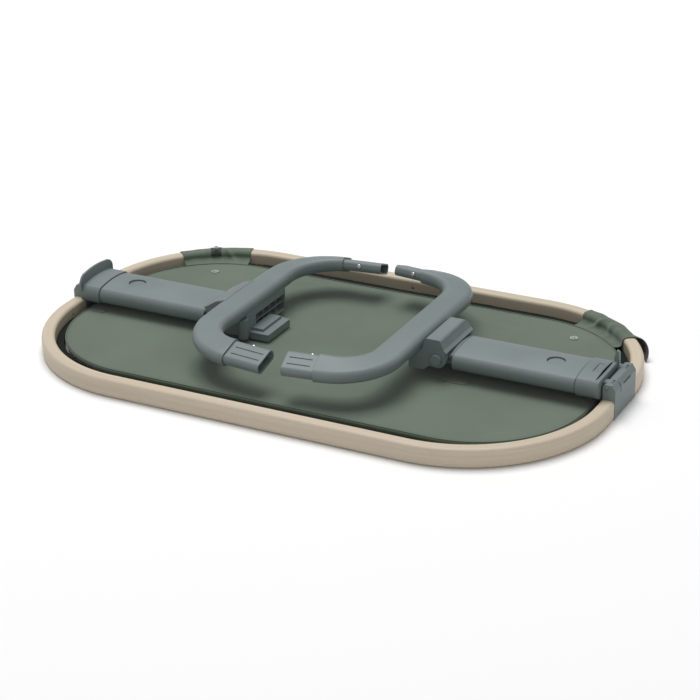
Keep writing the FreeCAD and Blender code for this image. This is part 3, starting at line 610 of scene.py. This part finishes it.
def make_mattress():
    """The thin quilted pad inside the tub, under the board: cells swell between sewn lines."""
    low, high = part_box("mattress")
    edge = HALF_X - high.x + NARROW + 1.5 * MM
    middle, half = (low.z + high.z) / 2, (high.z - low.z) / 2 - 2.2 * MM
    pad = pad_mesh(edge, middle, half)
    sewn = pad.vertex_groups.new(name="sewn")
    for v in pad.data.vertices:
        a, b = (v.co.x + v.co.y) / PAD_CELL, (v.co.x - v.co.y) / PAD_CELL
        gap = min(abs(a - round(a)), abs(b - round(b))) * PAD_CELL / math.sqrt(2)
        hold = max(0.0, 1 - gap / (7 * MM)) if abs(v.co.z - middle) > half * 0.5 else 0.3
        sewn.add([v.index], hold, "REPLACE")
    start = np.array([v.co for v in pad.data.vertices])
    swollen = swollen_points(pad)
    move = np.clip(np.nan_to_num(swollen - start), -PAD_SWELL, PAD_SWELL)
    move[:, :2] = np.clip(move[:, :2], -PAD_SPREAD, PAD_SPREAD)
    for v, rest, shift in zip(pad.data.vertices, start, move):
        v.co = Vector(rest + shift)
    subdivide(pad)
    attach(pad, "ring")
    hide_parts("mattress")


make_cover()
make_side_wall()
make_mattress()


# ---------------------------------------------------------------------------------- rim sleeves

RIM_BEND = 5.5 * MM  # the rounding of the rim's edges
HEM_LOW = 0.8 * MM  # the outer hem's height over the floor

# A sleeve's last points run down the rim's inner face and across the gap to the bottom cloth: the share of
# the gap, the drop below that cloth in mm, and the outward direction.
SLEEVE_END = [(0.0, -4.5, -1, 0), (0.05, -1.5, -0.95, 0.3), (0.2, 1.2, -0.7, 0.7), (0.42, 2.6, -0.3, 1),
              (0.72, 2.4, 0, 1), (1.0, 1.2, 0.3, 1)]
CORNER_GAP = 24 * MM  # the gap's usual width, from which the places along a sleeve are worked out


def rim_section(skin):
    """The way over the rim, a skin's thickness off it: (reach from the corner's centre, height, outward
    direction)."""
    bend = RIM_BEND + skin
    outer, inner, top = CORNER + skin, CORNER - RIM_THICK - skin, RIM_TOP + skin
    path = []
    for k in range(9):
        path.append((outer, HEM_LOW + (top - bend - HEM_LOW) * k / 8, 1, 0))
    for k in range(1, 7):
        a = math.pi / 2 * k / 6
        x, z = math.cos(a), math.sin(a)
        path.append((outer - bend + bend * x, top - bend + bend * z, x, z))
    for k in range(1, 4):
        path.append((outer - bend - (outer - inner - 2 * bend) * k / 4, top, 0, 1))
    for k in range(0, 7):
        a = math.pi / 2 * (1 + k / 6)
        x, z = math.cos(a), math.sin(a)
        path.append((inner + bend + bend * x, top - bend + bend * z, x, z))
    return path


def lengths(path):
    """The length run so far at each point of a section."""
    runs = [0.0]
    for a, b in zip(path, path[1:]):
        runs.append(runs[-1] + math.dist(a[:2], b[:2]))
    return runs


def base_edge(turn):
    """How far the bottom cloth's edge is from the ring's corner point, in a direction."""
    x, radius = NARROW * math.cos(turn), BASE_CORNER - COVER_INSET
    return x + math.sqrt(radius ** 2 - (NARROW * math.sin(turn)) ** 2)


def crease_height(angle, place, sweep, folds):
    """How far a sleeve's folds lift it at one point."""
    height = 0.0
    for start_angle, start_place, end_angle, end_place, width, lift in folds:
        start = (start_angle / sweep, start_place * 1.1)
        end = (end_angle / sweep, end_place * 1.1)
        height += lift * bell(near_segment(angle / sweep, place * 1.1, start, end), width)
    return height


def flap_reach(place, length):
    """How far the sleeve's flap runs on past its start, in degrees."""
    return length * soft_step((0.47 - place) / 0.22) * (0.45 + 0.55 * soft_step((0.5 - place) / 0.5))


def flap_stand(place, past, flap):
    """How far the flap stands off the rim, past degrees beyond the point where it comes loose."""
    length, stand = flap
    belly = 0.55 + 0.45 * math.sin(math.pi * min(1.0, place / 0.4))
    return stand * soft_step(past / (length * 0.8)) * soft_step((0.5 - place) / 0.14) * belly


def make_sleeve(name, side, start, sweep, folds, seed, flap=None):
    """A cloth sleeve round a corner of the rim, with its two flat sizes. Folds are (angle, place, angle,
    place, width, height) on the sleeve, with places from 0 at the outer bottom to 1 at the bottom cloth. flap
    is how far the outer side runs on past the start, in degrees, and how far it stands off."""
    over_rim = rim_section(1.0 * MM)
    rim_face = over_rim[-1][0]
    path = over_rim + [(rim_face - share * CORNER_GAP, COVER_TOP - drop * MM, out, up)
                       for share, drop, out, up in SLEEVE_END]
    runs = lengths(path)
    total, steps = runs[-1], 56
    loose_from = start + 3.5
    points, uv = [], []
    for i in range(steps + 1):
        for order, ((reach, height, out, up), run) in enumerate(zip(path, runs)):
            place = run / total
            begin = start - flap_reach(place, flap[0]) if flap else start
            angle = begin + i / steps * (start + sweep - begin)
            turn = math.radians(angle)
            soft = 0.55 * MM * (0.6 + noise.noise(Vector((angle * 0.22, place * 6.0, seed))))
            hem = 0.5 * MM * (bell(angle - begin - 0.6, 0.7) + bell(angle - start - sweep + 0.6, 0.7))
            shift = max(-0.3 * MM, crease_height(angle, place, sweep, folds) + soft) + hem
            shift *= soft_step((1 - place) / 0.06)
            stand = flap_stand(place, loose_from - angle, flap) if flap else 0.0
            if order >= len(over_rim):
                share = SLEEVE_END[order - len(over_rim)][0]
                reach = rim_face - share * (rim_face - base_edge(turn) - 0.4 * MM)
            r, z = reach + out * shift + stand, height + up * shift
            points.append((side * CORE_X + r * math.cos(turn), CORE_Y + r * math.sin(turn), max(z, 0.6 * MM)))
            uv.append((turn * CORNER, run))
    sleeve = piece(name, points, grid_faces(steps + 1, len(path)), SLEEVE_CLOTH, uv)
    sleeve.data.flip_normals()
    subdivide(sleeve)
    # the inner side gets the near-black painted shade
    thicken(sleeve, 0.7 * MM, SLEEVE_INSIDE_SHADE)
    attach(sleeve, "ring")
    return sleeve, total + 3 * MM, math.radians(sweep) * CORNER


LEFT_FOLDS = [
    (117.5, 0.5, 110.5, 0.88, 0.035, 2.2 * MM),
    (114.5, 0.55, 108.5, 0.86, 0.05, -1.0 * MM),
    (126.5, 0.42, 126.5, 0.95, 0.018, 1.4 * MM),
    (124.9, 0.42, 124.9, 0.95, 0.016, 1.5 * MM),
    (119.0, 0.4, 119.0, 0.95, 0.016, 1.3 * MM),
    (133.0, 0.75, 128.0, 0.88, 0.06, 0.9 * MM),
]
RIGHT_FOLDS = [
    (58.5, 0.5, 64.5, 0.86, 0.045, 2.3 * MM),
    (61.5, 0.52, 67.0, 0.82, 0.05, -1.4 * MM),
    (55.5, 0.42, 55.0, 0.9, 0.035, -1.6 * MM),
    (52.5, 0.5, 50.5, 0.88, 0.05, 2.2 * MM),
    (56.5, 0.25, 46.5, 0.45, 0.06, 1.6 * MM),
    (47.0, 0.6, 43.0, 0.9, 0.07, 1.4 * MM),
    (66.5, 0.3, 60.5, 0.5, 0.07, 0.9 * MM),
]


def make_sleeves():
    """The left sleeve fits closely, and the right one ends in a loose flap."""
    left, width, length = make_sleeve("rim_sleeve_left", -1, 105.0, 33.0, LEFT_FOLDS, 3.0)
    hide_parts("rim_wrap_left")
    flap = (7.5, 11 * MM)
    right, width, length = make_sleeve("rim_sleeve_right", 1, 38.5, 32.4, RIGHT_FOLDS, 8.0, flap)
    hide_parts("rim_wrap_right")


# where the tapes start and the coil runs, in degrees round the left corner
ZIP_EDGE, ZIP_MIDDLE = 119.4, 121.85
ZIP_PITCH = 1.5 * MM


def zipper_tapes(path, runs):
    """Both tapes as one narrow band across the sleeve, a little raised along the middle."""
    width, steps = 2 * (ZIP_MIDDLE - ZIP_EDGE), 12
    points, uv = [], []
    for k in range(steps + 1):
        angle = ZIP_EDGE + width * k / steps
        turn = math.radians(angle)
        lift = 0.25 * MM * bell(angle - ZIP_MIDDLE, 0.5)
        for (reach, height, out, up), run in zip(path, runs):
            r = reach + out * lift
            points.append((-CORE_X + r * math.cos(turn), CORE_Y + r * math.sin(turn), height + up * lift))
            uv.append((turn * CORNER, run))
    tapes = piece("zipper_tapes", points, grid_faces(steps + 1, len(path)), TAPE_CLOTH, uv)
    tapes.data.flip_normals()
    thicken(tapes, 0.4 * MM)
    return tapes, math.radians(width) * CORNER


def zipper_coil(path, runs):
    """The closed coil: a row of short six-sided beads along the section."""
    turn = math.radians(ZIP_MIDDLE)
    side = Vector((-math.sin(turn), math.cos(turn), 0))
    points, faces = [], []
    for k in range(int(runs[-1] / ZIP_PITCH)):
        want = (k + 0.5) * ZIP_PITCH
        i = max(j for j, run in enumerate(runs) if run <= want)
        t = (want - runs[i]) / (runs[i + 1] - runs[i])
        reach, height, out, up = (a + t * (b - a) for a, b in zip(path[i], path[i + 1]))
        reach, height = reach + out * 0.45 * MM, height + up * 0.45 * MM
        centre = Vector((-CORE_X + reach * math.cos(turn), CORE_Y + reach * math.sin(turn), height))
        normal = Vector((out * math.cos(turn), out * math.sin(turn), up)).normalized()
        along = side.cross(normal)
        base = len(points)
        for end in (-1, 1):
            for b in range(6):
                angle = FULL_TURN * b / 6
                spoke = 0.5 * MM * (math.cos(angle) * along + math.sin(angle) * normal)
                points.append(centre + side * end * 2.1 * MM + spoke)
        faces += [(base + b, base + (b + 1) % 6, base + 6 + (b + 1) % 6, base + 6 + b) for b in range(6)]
        faces += [tuple(base + b for b in reversed(range(6))), tuple(base + 6 + b for b in range(6))]
    return piece("zipper_coil", points, faces, TEETH)


def make_zipper():
    """A closed zipper across the left sleeve: two tapes and a coil between them. The slider is a CAD node."""
    path = [p for p in rim_section(2.6 * MM) if p[1] > 1 * MM]
    runs = lengths(path)
    tapes, width = zipper_tapes(path, runs)
    coil = zipper_coil(path, runs)
    for made in (tapes, coil):
        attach(made, "ring")
    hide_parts("zipper_tape")


make_sleeves()
make_zipper()


# ------------------------------------------------------------------------- small sewn-on patches

def make_patch(name, node, stitch_inset):
    """A small folded patch sewn to the bottom cloth, a little proud in the middle."""
    low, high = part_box(node)
    middle, half = (low + high) / 2, (high - low) / 2
    nx, ny = 24, 14
    points, uv = [], []
    for j in range(ny + 1):
        for i in range(nx + 1):
            # the rectangle's corners are rounded by pulling its outline in towards a superellipse
            a, b = 2 * i / nx - 1, 2 * j / ny - 1
            pull = (abs(a) ** 6 + abs(b) ** 6) ** (1 / 6)
            reach = max(abs(a), abs(b))
            scale = reach / pull if pull > 0 else 1
            x, y = middle.x + half.x * a * scale, middle.y + half.y * b * scale
            z = low.z + (high.z - low.z) * (0.35 + 0.5 * soft_step((1 - reach) / 0.25))
            points.append((x, y, z + 0.12 * MM * noise.noise(Vector((x * 260, y * 260, 1.0)))))
            uv.append((x, y))
    patch = piece(name, points, grid_faces(ny + 1, nx + 1), SLEEVE_CLOTH, uv)
    thicken(patch, 0.5 * MM)
    left, right = low.x + stitch_inset, high.x - stitch_inset
    near, far = low.y + stitch_inset, high.y - stitch_inset
    corners = [(left, near), (right, near), (right, far), (left, far), (left, near)]
    line = [Vector((x, y, high.z - 0.1 * MM)) for x, y in corners]
    sewing = stitch_row(name + "_stitches", line, THREAD, 2.6 * MM, 1.8 * MM, 0.25 * MM)
    for made in (patch, sewing):
        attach(made, "ring")
    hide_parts(node)


make_patch("strap_keeper", "strap_pocket", 2.2 * MM)
make_patch("side_label", "side_tab", 1.8 * MM)


# -------------------------------------------------------------------------------- camera, light

def make_stage():
    """A pale floor, a plain white sky and two soft lamps."""
    ground = bpy.data.meshes.new("ground")
    bm = bmesh.new()
    bmesh.ops.create_grid(bm, x_segments=8, y_segments=8, size=9.0)
    bm.to_mesh(ground)
    bm.free()
    floor = bpy.data.objects.new("ground", ground)
    SCENE.collection.objects.link(floor)
    pale = Shade("pale_floor", 0.95, specular=0.0)
    pale.colour((0.95, 0.95, 0.95, 1.0))
    ground.materials.append(pale.material)

    SCENE.world = bpy.data.worlds.new("studio")
    SCENE.world.use_nodes = True
    sky = SCENE.world.node_tree.nodes["Background"]
    sky.inputs["Color"].default_value = (1.0, 1.0, 1.0, 1.0)
    sky.inputs["Strength"].default_value = 0.34
    lamps = (("key", (-1.3, 1.5, 6.7), 4.6, 415.0), ("fill", (3.0, -5.6, 3.6), 3.0, 30.0))
    for name, spot, size, power in lamps:
        lamp = bpy.data.lights.new(name, "AREA")
        lamp.shape, lamp.size, lamp.energy = "SQUARE", size, power
        holder = bpy.data.objects.new(name, lamp)
        SCENE.collection.objects.link(holder)
        holder.location = spot
        holder.rotation_mode = "QUATERNION"
        holder.rotation_quaternion = (-Vector(spot)).to_track_quat("-Z", "Y")


def make_camera():
    """A long lens that looks down on the cot from its near right side."""
    azimuth, elevation, roll = (math.radians(a) for a in (27.58, 24.65, -1.13))
    target, distance = Vector((0.00785, 0.02628, 0.0)), 3.23943
    level = math.cos(elevation)
    back = Vector((math.sin(azimuth) * level, -math.cos(azimuth) * level, math.sin(elevation)))
    lens = bpy.data.cameras.new("camera")
    lens.sensor_width, lens.lens = 36.0, 106.91
    lens.clip_start, lens.clip_end = 0.05, 60.0
    camera = bpy.data.objects.new("camera", lens)
    SCENE.collection.objects.link(camera)
    camera.location = target + back * distance
    upright = (-back).to_track_quat("-Z", "Y").to_matrix()
    camera.rotation_mode = "QUATERNION"
    camera.rotation_quaternion = (Matrix.Rotation(roll, 3, back) @ upright).to_quaternion()
    SCENE.camera = camera


make_stage()
make_camera()
SCENE.view_settings.view_transform = "Standard"
